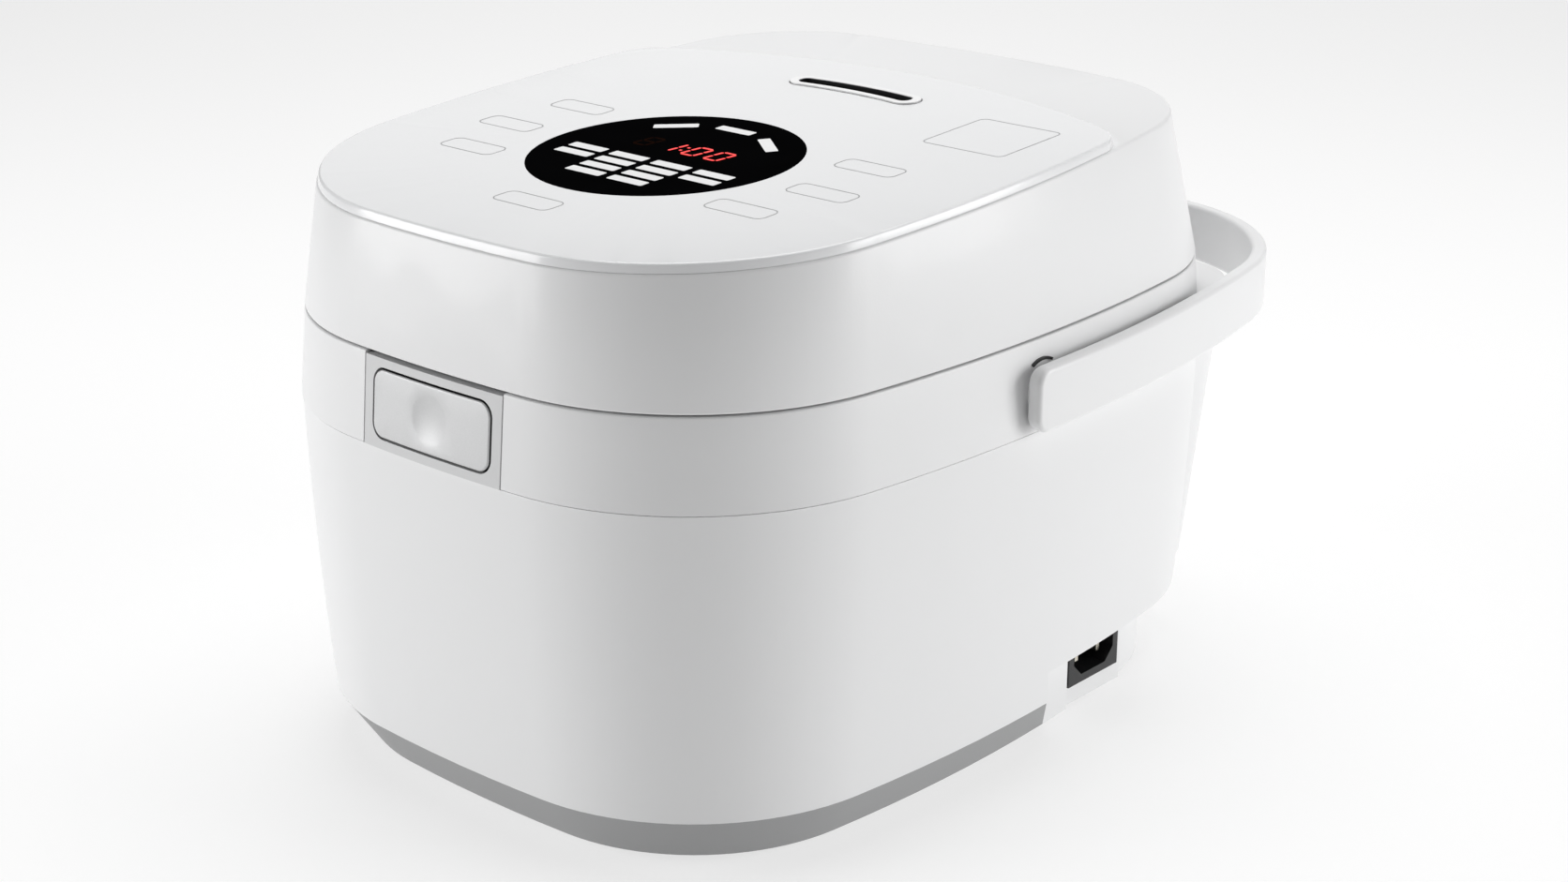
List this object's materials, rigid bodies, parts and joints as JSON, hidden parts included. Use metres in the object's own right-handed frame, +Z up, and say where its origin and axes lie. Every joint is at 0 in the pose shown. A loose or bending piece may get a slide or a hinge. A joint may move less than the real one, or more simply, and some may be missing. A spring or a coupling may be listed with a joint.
{
  "type": "rice cooker",
  "caption": "Rounded white induction rice cooker with a hinged lid, a fold-back carry handle, a push button latch, a round display window and an inner pot.",
  "frame": {"origin": "centre of the bounding box at the underside of the feet", "axes": "+X to the side with the power inlet, +Y from the front towards the handle bar, +Z up"},
  "size_m": [0.2784, 0.3834, 0.2278],
  "materials": {
    "white_casing": "satin white",
    "white_panel": "glossy cool white",
    "grey_base": "fine matte grey",
    "silver_button": "silver satin",
    "black_window": "glossy black",
    "black_plastic": "matte black",
    "grey_plastic": "matte light grey",
    "steel": "bright steel",
    "aluminium": "plain aluminium",
    "pot_metal": "dark non-stick coat",
    "copper_wire": "enamelled copper",
    "ferrite": "dark ceramic",
    "rubber_dark": "matte rubber",
    "rubber_pale": "pale silicone",
    "board": "green laminate",
    "plated_pins": "plated"
  },
  "bodies": {
    "body": {"base_tray": "grey_base", "rubber_feet": "rubber_dark", "base_screws": "steel", "lower_body_shell": "white_casing", "rear_base": "white_casing", "power_inlet": "black_plastic", "inlet_pins": "plated_pins", "rear_cover": "white_casing", "upper_ring": "white_casing", "inner_pot": "pot_metal", "pot_well": "aluminium", "coil_carrier": "grey_plastic", "induction_coil": "copper_wire", "ferrite_bars": "ferrite", "sensor_spring": "steel", "fan_frame": "black_plastic", "power_board": "board", "heat_sink": "aluminium", "capacitors": "black_plastic", "button_bezel": "white_casing", "button_spring": "steel", "latch_housing": "grey_plastic", "latch_pin": "steel", "handle_pivots": "steel", "hinge_pin": "steel", "hinge_spring": "steel"},
    "lid": {"lid_shell": "white_casing", "lid_panel": "white_panel", "display_window": "black_window", "display_module": "black_plastic", "display_board": "board", "steam_vent_trim": "white_panel", "steam_chamber": "grey_plastic", "lid_inner_frame": "grey_plastic", "lid_screws": "steel", "lid_strike": "steel", "inner_lid": "aluminium", "inner_lid_gasket": "rubber_pale", "steam_grommet": "rubber_pale", "lid_sensor": "steel"},
    "handle": {"carry_handle": "white_casing"},
    "button": {"open_button": "silver_button"},
    "latch": {"latch_lever": "grey_plastic"},
    "plunger": {"sensor_plunger": "aluminium"},
    "fan": {"fan_rotor": "black_plastic"}
  },
  "joints": [
    {"name": "lid_hinge", "type": "hinge", "parent": "body", "child": "lid", "pos_m": [0, 0.15075, 0.16], "axis": [-1, 0, 0], "range_deg": [0, 85]},
    {"name": "handle_fold", "type": "hinge", "parent": "body", "child": "handle", "pos_m": [0, -0.02475, 0.14825], "axis": [1, 0, 0], "range_deg": [0, 90]},
    {"name": "button_press", "type": "slide", "parent": "body", "child": "button", "axis": [0, 1, 0], "range_m": [0, 0.003], "stiffness_N_per_m": 600, "springref_m": -0.002},
    {"name": "latch_pivot", "type": "hinge", "parent": "body", "child": "latch", "pos_m": [0, -0.15925, 0.152], "axis": [1, 0, 0], "range_deg": [0, 16]},
    {"name": "sensor_press", "type": "slide", "parent": "body", "child": "plunger", "axis": [0, 0, 1], "range_m": [-0.0025, 0], "stiffness_N_per_m": 600, "springref_m": 0.002, "deforming": ["sensor_spring"]},
    {"name": "fan_spin", "type": "hinge", "parent": "body", "child": "fan", "pos_m": [-0.045, 0.08075, 0.0155], "axis": [0, 0, 1], "continuous": true}
  ],
  "couplings": [
    {"joint": "latch_pivot", "follows": "button_press", "rad_per_m": 90.909}
  ]
}
